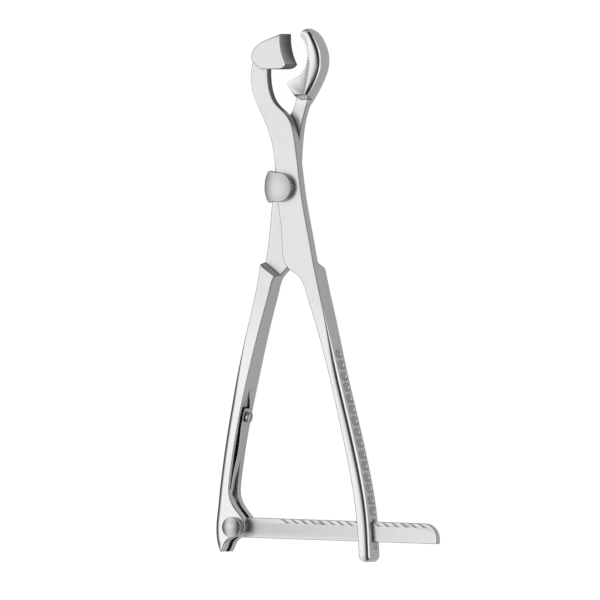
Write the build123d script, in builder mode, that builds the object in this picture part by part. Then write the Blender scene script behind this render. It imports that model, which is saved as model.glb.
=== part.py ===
from build123d import *
from math import cos, radians, sin, tan
import os

os.makedirs("parts", exist_ok=True)

# Bone holding forceps lying flat on a table. X is across the handles, Y runs to the jaws, Z is up.
# The axis of the lock is at x = 0, y = 0, and the flat rear of the lock is at z = 0. All sizes in mm.

# Reaches from the lock axis
jaw_reach = 77.5
handle_reach = 190.2
crotch_reach = 41.0

# Thicknesses
handle_thickness = 12.8
jaw_thickness = 12.0
shank_thickness = 5.25
neck_thickness = 4.3
lap_gap = 0.1

# Block jaw
block_bottom = 59.6
block_face_x = -1.1
block_heel_x = 2.1
block_hollow = 1.0
jaw_chamfer = 0.4

# Hook jaw
hook_radius = 14.0
hook_centre_x = 0.2
hook_centre_y = 66.6
hook_crest = 80.0
jaw_crown = 2.0
tooth_count = 15
tooth_depth = 0.8
tooth_span = 90.0

# Lock
post_radius = 3.5
post_clearance = 0.05
cap_height = 4.0
cap_length = 15.4
cap_overhang = 9.3
cap_reach = 6.9
cap_crown_radius = 22.0
cap_edge = 0.8
cap_corner = 1.6
rivet_flare = 1.2
rivet_clearance = 0.02

# Handles
handle_crown = 2.3
end_radius = 3.1

# Ratchet bar and its pin
pin_x = -27.7
pin_y = -172.9
pin_radius = 2.5
pin_clearance = 0.05
pin_head_radius = 5.0
pin_head_wall = 2.2
pin_head_height = 4.4
pin_flare = 0.9
bar_length = 115.0
bar_height = 10.2
bar_thickness = 3.4
bar_tilt = -1.45
bar_nose = 8.0
notch_count = 16
notch_pitch = 5.28
notch_start = 24.2
notch_depth = 2.4
notch_slant = 31.0
notch_width = 0.9
slot_clearance = 0.15

# Window in the right handle
window_x = 47.0
window_top_gap = 0.75
window_room = 3.8
window_side_gap = 0.25

# Fork and channel in the left handle
cheek_radius = 7.2
channel_behind = 2.4
channel_ahead = 4.2
fork_start = 157.0

# Leaf spring and its screw
spring_thickness = 0.8
spring_top = 112.5
spring_width = 8.2
spring_waist = 4.4
spring_tip_width = 3.0
screw_y = -117.0
screw_share = 0.42
screw_radius = 1.4
screw_length = 3.2
screw_head_radius = 2.5
screw_head_height = 2.0
screw_head_lift = 1.35

# Finger scoops on the right handle
scoop_count = 15
scoop_pitch = 5.87
scoop_start = 49.0
scoop_radius = 2.5
scoop_depth = 1.1
scoop_width = 5.9

# Heights and widths worked out from the sizes above
mid = shank_thickness + lap_gap / 2
handle_low = mid - handle_thickness / 2
front_low = mid + lap_gap / 2
front_high = front_low + shank_thickness
rear_high = mid - lap_gap / 2
rear_low = rear_high - shank_thickness
jaw_low = mid - jaw_thickness / 2
slot_width = bar_thickness + 2 * slot_clearance

# Blank of the right handle: full thickness from its shoulder to its rounded end
end_x = 47.7
end_y = end_radius - handle_reach

with BuildPart() as right_blank:
    with BuildSketch(Plane.XY.offset(handle_low)):
        with BuildLine():
            outer_right = Spline(
                (16.8, -38.5), (21.2, -55.5), (30.2, -87.0), (39.3, -120.0),
                (45.9, -147.0), (49.8, -170.0), (end_x + end_radius, end_y),
            )
            end = ThreePointArc(outer_right @ 1, (end_x, -handle_reach), (end_x - end_radius, end_y))
            inner_right = Spline(
                end @ 1, (43.0, -168.0), (38.0, -139.2), (27.4, -96.2), (18.7, -68.6), (11.3, -47.5)
            )
            Line(inner_right @ 1, outer_right @ 0)
        make_face()
    extrude(amount=handle_thickness)
    fillet(right_blank.faces().filter_by(Axis.Z).edges().filter_by(lambda e: e.center().Y < -47), handle_crown)

# Block jaw with its hollow gripping face and a narrow chamfer round its rim
with BuildPart() as block_jaw:
    with BuildSketch(Plane.XY.offset(jaw_low)):
        with BuildLine():
            block_back = Spline(
                (block_face_x, jaw_reach), (-9.0, 74.6), (-15.6, 70.9), (-18.0, 65.6), (-12.4, block_bottom)
            )
            block_foot = Spline(block_back @ 1, (-3.8, block_bottom), (block_heel_x, 61.9))
            hollow_mid = ((block_face_x + block_heel_x) / 2 - block_hollow, (jaw_reach + 61.9) / 2)
            ThreePointArc(block_foot @ 1, hollow_mid, block_back @ 0)
        make_face()
    extrude(amount=jaw_thickness)
    chamfer(block_jaw.faces().filter_by(Axis.Z).edges(), jaw_chamfer)

# Block leg: the smooth block jaw, the front shank and the right handle, forged in one
with BuildPart() as block_leg:
    with BuildSketch(Plane.XY.offset(front_low)):
        with BuildLine():
            neck_left = Spline((-17.6, 63.0), (-18.8, 55.0), (-16.9, 45.6), (-11.3, 34.4), (-6.8, 23.6))
            left_edge = Line(neck_left @ 1, (0.9, 1.5 - crotch_reach))
            arch = Spline(left_edge @ 1, (3.9, -41.9), (8.6, -44.5), (11.3, -48.2), (13.6, -54.5))
            sill = Line(arch @ 1, (21.0, -54.5))
            right_edge = Spline(sill @ 1, (17.2, -37.0), (11.3, -6.5), (6.9, 23.6), (5.8, 31.0))
            neck_right = Spline(right_edge @ 1, (3.0, 35.0), (-5.1, 42.9), (-8.8, 52.5), (-8.8, 63.0))
            Line(neck_right @ 1, neck_left @ 0)
        make_face()
    extrude(amount=shank_thickness)
    # Side profile: the neck is thinner than the shank
    neck_step = (shank_thickness - neck_thickness) / 2
    with BuildSketch(Plane.YZ):
        with BuildLine():
            Polyline(
                (-60, front_low), (18, front_low), (42, front_low + neck_step), (70, front_low + neck_step),
                (70, front_high - neck_step), (42, front_high - neck_step), (18, front_high),
                (-60, front_high), close=True,
            )
        make_face()
    extrude(amount=60, both=True, mode=Mode.INTERSECT)
    add(block_jaw.part)
    add(right_blank.part)
    # Open notch that hooks round the post of the lock
    with BuildSketch(Plane.XY.offset(front_low - 1)):
        Circle(post_radius + post_clearance)
        with Locations((-cap_overhang / 2, 0)):
            Rectangle(cap_overhang, 2 * (post_radius + post_clearance))
    extrude(amount=shank_thickness + 2, mode=Mode.SUBTRACT)
    # Window for the ratchet bar
    bar_middle = pin_y + (window_x - pin_x) * tan(radians(bar_tilt))
    window_top = bar_middle + bar_height / 2 + window_top_gap
    window_bottom = bar_middle - bar_height / 2 - window_room
    with BuildSketch(Plane.YZ.offset(window_x)):
        with Locations(((window_top + window_bottom) / 2, mid)):
            Rectangle(window_top - window_bottom, bar_thickness + 2 * window_side_gap)
    extrude(amount=12, both=True, mode=Mode.SUBTRACT)
    # Finger scoops along the outer edge
    scoop_places = []
    for i in range(scoop_count):
        step = scoop_start + i * scoop_pitch
        spot = outer_right.position_at(step, position_mode=PositionMode.LENGTH)
        way = outer_right.tangent_at(step, position_mode=PositionMode.LENGTH)
        lift = scoop_radius - scoop_depth
        scoop_places.append((spot.X - way.Y * lift, spot.Y + way.X * lift, mid))
    half_straight = scoop_width / 2 - (2 * scoop_radius * scoop_depth - scoop_depth**2) ** 0.5
    with Locations(*scoop_places):
        Cylinder(scoop_radius, 2 * half_straight, mode=Mode.SUBTRACT)
        with Locations((0, 0, half_straight), (0, 0, -half_straight)):
            Sphere(scoop_radius, mode=Mode.SUBTRACT)

# Blank of the left handle, with the lobe that carries the ratchet pin
with BuildPart() as left_blank:
    with BuildSketch(Plane.XY.offset(handle_low)):
        with BuildLine():
            outer_left = Spline(
                (-12.2, -39.6), (-18.2, -63.0), (-26.4, -95.0), (-32.6, -123.7),
                (-36.9, -151.6), (-39.1, -173.0), (-38.6, -180.0),
            )
            foot = Spline(outer_left @ 1, (-33.6, -185.8), (-28.6, -182.4), tangents=(outer_left % 1, (0.7, 0.7)))
            lobe_start = (pin_x + cheek_radius * cos(radians(-60)), pin_y + cheek_radius * sin(radians(-60)))
            lobe_end = (pin_x + cheek_radius * cos(radians(50)), pin_y + cheek_radius * sin(radians(50)))
            Line(foot @ 1, lobe_start)
            ThreePointArc(lobe_start, (pin_x + cheek_radius, pin_y), lobe_end)
            inner_left = Spline(
                lobe_end, (-26.6, -164.0), (-29.4, -160.6), (-30.3, -155.0), (-28.5, -137.6),
                (-23.9, -113.3), (-16.4, -84.6), (-9.0, -57.5), (-5.1, -45.0),
            )
            Line(inner_left @ 1, outer_left @ 0)
        make_face()
    extrude(amount=handle_thickness)
    fillet(left_blank.faces().filter_by(Axis.Z).edges().filter_by(lambda e: e.center().Y < -47), handle_crown)

# Hook jaw: a thick plate with a rounded outer edge and fine teeth across its bite
with BuildPart() as hook_jaw:
    with BuildSketch(Plane.XY.offset(jaw_low)):
        with BuildLine():
            back = Spline(
                (10.6, 78.6), (13.6, hook_crest), (18.2, 75.4), (21.3, 68.0), (21.3, 61.0), (17.6, 51.5), (12.6, 43.6)
            )
            step = Line(back @ 1, (7.2, 47.2))
            under = Line(step @ 1, (2.6, 51.8))
            beak = Line(under @ 1, (2.9, 53.1))
            bite_low = (hook_centre_x + hook_radius * cos(radians(-52)), hook_centre_y + hook_radius * sin(radians(-52)))
            bite_high = (hook_centre_x + hook_radius * cos(radians(43)), hook_centre_y + hook_radius * sin(radians(43)))
            Line(beak @ 1, bite_low)
            bite = ThreePointArc(bite_low, (hook_centre_x + hook_radius, hook_centre_y), bite_high)
            Line(bite @ 1, back @ 0)
        make_face()
    extrude(amount=jaw_thickness)
    fillet(hook_jaw.faces().filter_by(Axis.Z).edges().filter_by(lambda e: e.center().X > 16), jaw_crown)
    # Fine teeth across the bite
    pitch_angle = tooth_span / tooth_count
    half_gap = hook_radius * tan(radians(pitch_angle / 2)) * 0.98
    with BuildSketch(Plane.XY.offset(jaw_low)):
        with Locations((hook_centre_x, hook_centre_y)):
            with PolarLocations(hook_radius, tooth_count, start_angle=pitch_angle / 2 - 47, angular_range=tooth_span):
                Polygon((-0.3, -half_gap), (tooth_depth, 0), (-0.3, half_gap), align=None)
    extrude(amount=jaw_thickness, mode=Mode.SUBTRACT)

# Hook leg: the toothed hook jaw, the rear shank and the left handle, forged in one
with BuildPart() as hook_leg:
    with BuildSketch(Plane.XY.offset(rear_low)):
        with BuildLine():
            hook_neck_left = Spline((7.2, 50.0), (4.6, 44.5), (3.4, 40.0), (-1.0, 34.0), (-5.6, 28.0))
            rear_left = Spline(hook_neck_left @ 1, (-7.4, 14.0), (-9.2, -8.4), (-11.2, -27.0), (-13.4, -42.0))
            rear_sill = Line(rear_left @ 1, (-9.6, -54.0))
            rear_arch = Spline(rear_sill @ 1, (-5.1, -45.4), (-2.6, -42.6), (0.0, -crotch_reach))
            rear_right = Spline(rear_arch @ 1, (2.4, -18.0), (5.2, 9.0), (7.0, 27.0), (9.2, 37.0), (12.4, 46.0))
            Line(rear_right @ 1, hook_neck_left @ 0)
        make_face()
    extrude(amount=shank_thickness)
    with BuildSketch(Plane.YZ):
        with BuildLine():
            Polyline(
                (-60, rear_low), (16, rear_low), (34, rear_low + neck_step), (60, rear_low + neck_step),
                (60, rear_high - neck_step), (34, rear_high - neck_step), (16, rear_high),
                (-60, rear_high), close=True,
            )
        make_face()
    extrude(amount=60, both=True, mode=Mode.INTERSECT)
    add(left_blank.part)
    add(hook_jaw.part)
    # Channel for the leaf spring, deepening towards the fork
    with BuildSketch(Plane.XY.offset(mid - channel_behind)):
        with BuildLine():
            floor = Spline((-21.4, -103.7), (-25.8, -117.0), (-31.0, -135.0), (-34.2, -150.0), (-35.8, -fork_start))
            Polyline(floor @ 1, (0, -fork_start), (0, -103.7), floor @ 0)
        make_face()
    extrude(amount=channel_behind + channel_ahead, mode=Mode.SUBTRACT)
    # Slot between the two cheeks of the fork
    with BuildSketch(Plane.XY.offset(mid - slot_width / 2)):
        with BuildLine():
            Polyline(
                (-35.8, 0.1 - fork_start), (-36.7, -168.0), (-36.7, -200.0), (0, -200.0),
                (0, 0.1 - fork_start), close=True,
            )
        make_face()
    extrude(amount=slot_width, mode=Mode.SUBTRACT)
    # Bore for the post of the lock, flared at the rear for its riveted end
    with BuildSketch(Plane.XY.offset(rear_low)):
        Circle(post_radius + rivet_clearance)
    extrude(amount=shank_thickness, mode=Mode.SUBTRACT)
    with Locations((0, 0, rear_low + rivet_flare / 2)):
        Cone(
            post_radius + rivet_clearance + rivet_flare, post_radius + rivet_clearance, rivet_flare,
            mode=Mode.SUBTRACT,
        )
    # Bore for the ratchet pin through both cheeks, flared at the rear
    with BuildSketch(Plane.XY.offset(handle_low)):
        with Locations((pin_x, pin_y)):
            Circle(pin_radius + pin_clearance)
    extrude(amount=handle_thickness, mode=Mode.SUBTRACT)
    with Locations((pin_x, pin_y, handle_low + pin_flare / 2)):
        Cone(pin_radius + pin_clearance + pin_flare, pin_radius + pin_clearance, pin_flare, mode=Mode.SUBTRACT)
    # Pilot bore for the spring screw, square to the inner face of the handle
    screw_face = inner_left.position_at(screw_share)
    screw_along = inner_left.tangent_at(screw_share)
    screw_out = Vector(screw_along.Y, -screw_along.X, 0)
    screw_base = Vector(screw_face.X, screw_face.Y, mid)
    with BuildSketch(Plane(screw_base, z_dir=-screw_out)):
        Circle(screw_radius + rivet_clearance)
    extrude(amount=screw_length, mode=Mode.SUBTRACT)

# Post of the lock with its D-shaped domed cap
cap_low = front_high + lap_gap
with BuildPart() as cap_crown:
    with Locations((0, 0, cap_low + cap_height - cap_crown_radius)):
        Sphere(cap_crown_radius)

with BuildPart() as pivot_post:
    with BuildSketch(Plane.XY.offset(cap_low)):
        with BuildLine():
            flat_side = ThreePointArc((-7.6, cap_length / 2), (-cap_overhang, 0), (-7.9, -cap_length / 2))
            low_side = Line(flat_side @ 1, (-0.6, -cap_length / 2))
            round_side = ThreePointArc(low_side @ 1, (cap_reach, -0.2), (-0.8, cap_length / 2 - 0.6))
            Line(round_side @ 1, flat_side @ 0)
        make_face()
    extrude(amount=cap_height)
    fillet(pivot_post.edges().filter_by(Axis.Z), cap_corner)
    add(cap_crown.part, mode=Mode.INTERSECT)
    fillet(pivot_post.faces().filter_by(GeomType.SPHERE).edges(), cap_edge)
    with BuildSketch(Plane.XY.offset(rear_low)):
        Circle(post_radius)
    extrude(amount=cap_low - rear_low)
    with Locations((0, 0, rear_low + rivet_flare / 2)):
        Cone(post_radius + rivet_flare, post_radius, rivet_flare)

# Ratchet bar, drawn along its own length from the pin
bar_way = (cos(radians(bar_tilt)), sin(radians(bar_tilt)), 0)
with BuildPart() as ratchet_bar:
    with BuildSketch(Plane((pin_x, pin_y, mid - bar_thickness / 2), x_dir=bar_way, z_dir=(0, 0, 1))):
        Circle(bar_height / 2)
        with Locations((bar_length / 2, 0)):
            bar_body = Rectangle(bar_length, bar_height)
        far_corners = bar_body.vertices().group_by(Axis.X)[-1].sort_by(Axis.Y)
        fillet(far_corners[-1], bar_nose)
        Circle(pin_radius + pin_clearance, mode=Mode.SUBTRACT)
        # Slanted notches that hook over the edge of the window
        notch_run = notch_depth / tan(radians(notch_slant))
        notch_mouth = notch_width / sin(radians(notch_slant))
        with Locations(*[(notch_start + i * notch_pitch, bar_height / 2) for i in range(notch_count)]):
            Polygon(
                (-notch_run / 4, notch_depth / 4), (notch_mouth - notch_run / 4, notch_depth / 4),
                (notch_mouth + notch_run, -notch_depth), (notch_run, -notch_depth),
                align=None, mode=Mode.SUBTRACT,
            )
    extrude(amount=bar_thickness)

# Ratchet pin: round shank, domed head in front, riveted flare at the rear
head_low = handle_low + handle_thickness + lap_gap
head_top = head_low + pin_head_height
head_sag = pin_head_height - pin_head_wall
head_dome_radius = (pin_head_radius**2 + head_sag**2) / (2 * head_sag)
with BuildPart() as pin_dome:
    with Locations((pin_x, pin_y, head_top - head_dome_radius)):
        Sphere(head_dome_radius)

with BuildPart() as ratchet_pin:
    with BuildSketch(Plane.XY.offset(head_low)):
        with Locations((pin_x, pin_y)):
            Circle(pin_head_radius)
    extrude(amount=pin_head_height)
    add(pin_dome.part, mode=Mode.INTERSECT)
    with BuildSketch(Plane.XY.offset(handle_low)):
        with Locations((pin_x, pin_y)):
            Circle(pin_radius)
    extrude(amount=handle_thickness + lap_gap)
    with Locations((pin_x, pin_y, handle_low + pin_flare / 2)):
        Cone(pin_radius + pin_flare - pin_clearance, pin_radius, pin_flare)

# Leaf spring: a thin strip on the inner face of the left handle that dips into the channel
with BuildPart() as leaf_spring:
    with BuildSketch(Plane.XY.offset(handle_low)):
        with BuildLine():
            blade_route = [
                (-23.4, -spring_top), (-25.1, -120.5), (-27.75, -133.0),
                (-31.6, -148.0), (-32.8, -158.0), (-32.3, -168.4),
            ]
            far_side = Spline(blade_route)
            near_side = Spline([(x + spring_thickness, y) for x, y in blade_route])
            Line(far_side @ 0, near_side @ 0)
            Line(far_side @ 1, near_side @ 1)
        make_face()
    extrude(amount=handle_thickness)
    # Outline of the strip seen from the inner side: a wide root that tapers to the tip
    with BuildSketch(Plane.YZ):
        with BuildLine():
            Polyline(
                (-spring_top + 2, mid - spring_width / 2), (-spring_top + 2, mid + spring_width / 2),
                (screw_y - 5, mid + spring_width / 2), (-136, mid + spring_waist / 2),
                (-175, mid + spring_tip_width / 2), (-175, mid - spring_tip_width / 2),
                (-136, mid - spring_waist / 2), (screw_y - 5, mid - spring_width / 2), close=True,
            )
        make_face()
    extrude(amount=60, both=True, mode=Mode.INTERSECT)
    with BuildSketch(Plane(screw_base, z_dir=screw_out)):
        Circle(screw_radius + 2 * rivet_clearance)
    extrude(amount=3, both=True, mode=Mode.SUBTRACT)

# Spring screw with its low round head
with BuildPart() as spring_screw:
    with BuildSketch(Plane(screw_base - screw_out * (screw_length - 0.2), z_dir=screw_out)):
        Circle(screw_radius)
    extrude(amount=screw_length + screw_head_lift)
    with BuildSketch(Plane(screw_base + screw_out * screw_head_lift, z_dir=screw_out)):
        Circle(screw_head_radius)
    extrude(amount=screw_head_height)
    fillet(spring_screw.faces().sort_by(Axis(tuple(screw_base), tuple(screw_out)))[-1].edges(), 0.5)

pieces = {
    "block_leg": block_leg, "hook_leg": hook_leg, "pivot_post": pivot_post, "ratchet_bar": ratchet_bar,
    "ratchet_pin": ratchet_pin, "leaf_spring": leaf_spring, "spring_screw": spring_screw,
}
for name, piece in pieces.items():
    piece.part.label = name
    export_step(piece.part, f"parts/{name}.step")
    print(name, round(piece.part.volume), len(piece.solids()), piece.part.is_valid)
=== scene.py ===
import math
import bmesh
import bpy
import numpy as np
from mathutils import Matrix, Vector


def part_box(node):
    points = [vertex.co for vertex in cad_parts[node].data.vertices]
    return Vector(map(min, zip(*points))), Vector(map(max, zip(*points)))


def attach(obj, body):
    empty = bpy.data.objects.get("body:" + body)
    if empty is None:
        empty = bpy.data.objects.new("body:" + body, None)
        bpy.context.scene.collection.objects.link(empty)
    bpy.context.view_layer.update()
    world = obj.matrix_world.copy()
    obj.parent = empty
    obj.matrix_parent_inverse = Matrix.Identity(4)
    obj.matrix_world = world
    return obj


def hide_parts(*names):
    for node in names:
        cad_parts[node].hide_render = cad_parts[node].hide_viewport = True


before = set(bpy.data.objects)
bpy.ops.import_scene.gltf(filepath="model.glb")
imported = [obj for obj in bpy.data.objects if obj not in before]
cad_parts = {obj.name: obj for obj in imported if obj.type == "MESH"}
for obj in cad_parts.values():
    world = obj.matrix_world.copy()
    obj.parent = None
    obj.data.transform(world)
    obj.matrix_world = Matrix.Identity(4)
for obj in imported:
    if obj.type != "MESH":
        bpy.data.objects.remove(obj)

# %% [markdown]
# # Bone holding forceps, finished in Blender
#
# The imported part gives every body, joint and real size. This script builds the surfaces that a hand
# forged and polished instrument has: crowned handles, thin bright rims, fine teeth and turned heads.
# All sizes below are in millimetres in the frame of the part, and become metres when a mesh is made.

MM = 0.001

# %% [markdown]
# ## Levels
#
# The two legs cross in the lap lock, one half behind the other. The rear face of the lock is height 0.
# The handles and jaws are thicker than the lock and are centred on the plane where the halves meet.
# Every height could be typed where it is used, but naming each face once keeps the pieces in step.

# %% Heights of the faces
shank_thickness = 5.25
lap_gap = 0.1
handle_half = 6.4
jaw_half = 6.0
neck_step = 0.475
mid = shank_thickness + lap_gap / 2
front_low = mid + lap_gap / 2
front_high = front_low + shank_thickness
rear_high = mid - lap_gap / 2
rear_low = 0.0
handle_high = mid + handle_half
handle_low = mid - handle_half
jaw_high = mid + jaw_half
jaw_low = mid - jaw_half
print("handle from", handle_low, "to", handle_high)

# %% [markdown]
# ## Lines and edges
#
# The edges of a forging are long smooth lines. They could be drawn as curve objects by hand, but a
# cubic spline through a few measured points can be run again and changed point by point, and it
# takes one edge or both edges of a leg at once. A step in height is a ramp that starts and ends level.

# %% Smooth lines through points
def smooth_line(points, at):
    """Positions on the natural cubic spline through points, at the given shares of its length."""
    p = np.array(points, float)
    reach = np.concatenate([[0], np.cumsum(np.linalg.norm(np.diff(p, axis=0), axis=1))])
    gap = np.diff(reach)
    system = np.eye(len(p))
    pull = np.zeros_like(p)
    for i in range(1, len(p) - 1):
        system[i, i - 1:i + 2] = gap[i - 1], 2 * (gap[i - 1] + gap[i]), gap[i]
        pull[i] = 6 * ((p[i + 1] - p[i]) / gap[i] - (p[i] - p[i - 1]) / gap[i - 1])
    bend = np.linalg.solve(system, pull)
    where = np.asarray(at, float) * reach[-1]
    k = np.clip(np.searchsorted(reach, where, side="right") - 1, 0, len(p) - 2)
    before = (reach[k + 1] - where)[:, None]
    after = (where - reach[k])[:, None]
    h = gap[k][:, None]
    return ((bend[k] * before**3 + bend[k + 1] * after**3) / (6 * h)
            + (p[k] / h - bend[k] * h / 6) * before + (p[k + 1] / h - bend[k + 1] * h / 6) * after)


def ramp(value, start, end, low, high):
    """low before start, high after end, and a smooth rise between."""
    t = np.clip((value - start) / (end - start), 0, 1)
    return low + (high - low) * t * t * (3 - 2 * t)


# %% [markdown]
# ## From rings to a mesh
#
# Every solid here is a row of closed rings, joined by quads and closed at both ends. That one rule
# makes plates, lofted legs and turned heads alike, where modelling each face by hand would give a
# different mesh each time. Rings that shrink to a point are merged, and the normals are made to
# point outwards.

# %% Mesh helpers
def make_piece(name, points, faces):
    """Object with a mesh through points that are given in millimetres."""
    mesh = bpy.data.meshes.new(name)
    mesh.from_pydata([tuple(p) for p in np.asarray(points, float) * MM], [], faces)
    obj = bpy.data.objects.new(name, mesh)
    bpy.context.scene.collection.objects.link(obj)
    return clean(obj)


def clean(obj, merge=2e-6):
    """Merges points closer than merge, in metres, and turns all faces outwards."""
    work = bmesh.new()
    work.from_mesh(obj.data)
    bmesh.ops.remove_doubles(work, verts=work.verts, dist=merge)
    bmesh.ops.dissolve_degenerate(work, edges=work.edges, dist=merge / 4)
    bmesh.ops.recalc_face_normals(work, faces=work.faces)
    work.to_mesh(obj.data)
    work.free()
    return obj


def ring_faces(rows, columns):
    """Quads between each ring of points and the next one."""
    return [(i * columns + j, i * columns + (j + 1) % columns,
             (i + 1) * columns + (j + 1) % columns, (i + 1) * columns + j)
            for i in range(rows - 1) for j in range(columns)]


def stack_of_rings(name, rings):
    """Closed solid through rings that all have the same number of points."""
    rings = np.asarray(rings)
    rows, columns = rings.shape[:2]
    faces = ring_faces(rows, columns)
    faces.append(tuple(reversed(range(columns))))
    faces.append(tuple((rows - 1) * columns + j for j in range(columns)))
    return make_piece(name, rings.reshape(-1, 3), faces)


def settle(obj):
    """Turns the modifiers' result into the object's own mesh."""
    graph = bpy.context.evaluated_depsgraph_get()
    result = bpy.data.meshes.new_from_object(obj.evaluated_get(graph))
    obj.modifiers.clear()
    obj.data = result


def combine(obj, other, operation):
    """Joins other to obj, or cuts it away, and removes it."""
    step = obj.modifiers.new("step", "BOOLEAN")
    step.operation = operation
    step.solver = "EXACT"
    step.object = other
    settle(obj)
    bpy.data.objects.remove(other)


# %% [markdown]
# ## Plates with worked edges
#
# Jaws and bar are plates: one outline, carried up through the thickness, with edges that a grinder
# has broken. A Bevel modifier would round every edge by the same width. Here each ring is the
# outline moved inwards by a little, so the width of the rounding can change along the edge.

# %% Outline moved inwards, and a plate made of such rings
def inward(outline, depth):
    """Moves each corner of an anticlockwise outline inwards by depth."""
    outline = np.asarray(outline, float)
    before = outline - np.roll(outline, 1, axis=0)
    after = np.roll(outline, -1, axis=0) - outline
    before /= np.linalg.norm(before, axis=1)[:, None]
    after /= np.linalg.norm(after, axis=1)[:, None]
    normal = np.stack([-(before + after)[:, 1], (before + after)[:, 0]], 1)
    normal /= np.maximum(1 + (before * after).sum(1), 0.6)[:, None]
    return outline + normal * np.broadcast_to(depth, len(outline))[:, None]


def crowned(wide, sink, part=0.8, steps=8):
    """Edge that sinks gently over part of its width and then turns down in a tight corner."""
    slope = math.atan(2 * sink / (part * wide))
    corner = (1 - part) * wide / (1 - math.sin(slope))
    profile = [(sink * t * t, 1 - part * t) for t in np.linspace(0, 1, steps)]
    for q in np.linspace(slope, math.pi / 2, steps)[1:]:
        drop = corner * (math.cos(slope) - math.cos(q))
        profile.append((sink + drop, corner * (1 - math.sin(q)) / wide))
    return profile


def plate(name, outline, low, high, edge_wide, edge_high, steps=6, bulge=0.0, profile=None):
    """Solid over outline. profile is its edge, as (drop, share of edge_wide), and a quarter of an
    ellipse if none is given. edge_wide may differ from point to point. bulge pushes the side out
    at half height."""
    edge_wide = np.broadcast_to(edge_wide, len(outline))
    half = (high - low) / 2
    if profile is None:
        profile = [(edge_high * (1 - math.cos(q)), 1 - math.sin(q))
                   for q in np.linspace(0, math.pi / 2, steps + 1)]
    edge = [(z, share, 0.0) for z, share in profile]
    if edge[-1][0] > 0.1:
        # A ring on the face, just inside the rounding, keeps the flat face shaded flat.
        edge.insert(0, (0.0, 1.0, 0.2))
    between = np.linspace(edge[-1][0], 2 * half - edge[-1][0], 9)[1:-1]
    levels = (edge + [(z, 0.0, 0.0) for z in between]
              + [(2 * half - z, *rest) for z, *rest in reversed(edge)])
    rings = []
    for z, share, inset in levels:
        swell = bulge * (1 - ((z - half) / half) ** 2)
        flat = inward(outline, edge_wide * share + inset * np.minimum(edge_wide, 0.6)
                      - swell * np.minimum(edge_wide, 1.0))
        rings.append(np.column_stack([flat, np.full(len(flat), low + z)]))
    return stack_of_rings(name, rings)


def anticlockwise(points):
    points = np.asarray(points, float)
    x, y = points[:, 0], points[:, 1]
    area = (x * np.roll(y, -1) - np.roll(x, -1) * y).sum()
    return points if area > 0 else points[::-1]


def arc(centre, radius, start, end, count):
    angle = np.radians(np.linspace(start, end, count))
    return np.column_stack([centre[0] + radius * np.cos(angle), centre[1] + radius * np.sin(angle)])


def arc_through(first, middle, last, count):
    """Points on the circle through three points."""
    (ax, ay), (bx, by), (cx, cy) = first, middle, last
    d = 2 * (ax * (by - cy) + bx * (cy - ay) + cx * (ay - by))
    ux = ((ax**2 + ay**2) * (by - cy) + (bx**2 + by**2) * (cy - ay) + (cx**2 + cy**2) * (ay - by)) / d
    uy = ((ax**2 + ay**2) * (cx - bx) + (bx**2 + by**2) * (ax - cx) + (cx**2 + cy**2) * (bx - ax)) / d
    turns = [math.degrees(math.atan2(y - uy, x - ux)) for x, y in (first, middle, last)]
    start, through, end = turns
    sweep = (end - start) % 360
    if (through - start) % 360 > sweep:
        sweep -= 360
    return arc((ux, uy), math.hypot(ax - ux, ay - uy), start, start + sweep, count)


# %% [markdown]
# ## Repeated cuts
#
# The scoops under the finger, the teeth of the jaw and the notches of the bar are each one tool cut,
# repeated at an even pitch along a line. A loop of boolean cuts would do it slowly. Geometry Nodes do
# it at once: points on the line, the cutter on each, turned to follow it, and one boolean cut. The
# tree is shared, and only its inputs change.

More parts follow.
